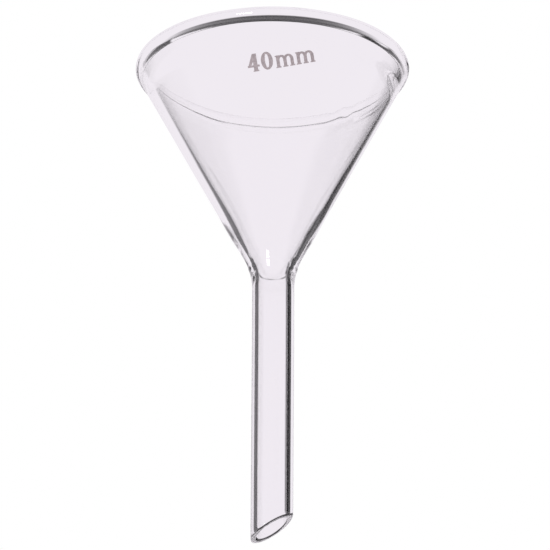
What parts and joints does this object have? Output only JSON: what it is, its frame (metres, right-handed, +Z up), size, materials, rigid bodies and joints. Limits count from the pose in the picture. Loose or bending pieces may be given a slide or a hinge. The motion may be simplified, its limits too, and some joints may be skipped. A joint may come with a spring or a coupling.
{
  "type": "filter funnel",
  "caption": "Small clear glass filter funnel: an open conical bowl with a beaded rim, and a narrow stem with a slanted end.",
  "frame": {"origin": "on the axis at the top of the straight part of the stem, just under the neck", "axes": "+Z up along the axis towards the mouth; the size mark faces -Y; the slanted end of the stem opens towards +X"},
  "size_m": [0.04, 0.04, 0.0756],
  "materials": {
    "glass": "clear, flame polished",
    "enamel": "matt fired enamel print"
  },
  "bodies": {
    "root": {"bowl": "glass", "neck_seal": "glass", "stem": "glass", "size_mark": "enamel"}
  },
  "joints": []
}
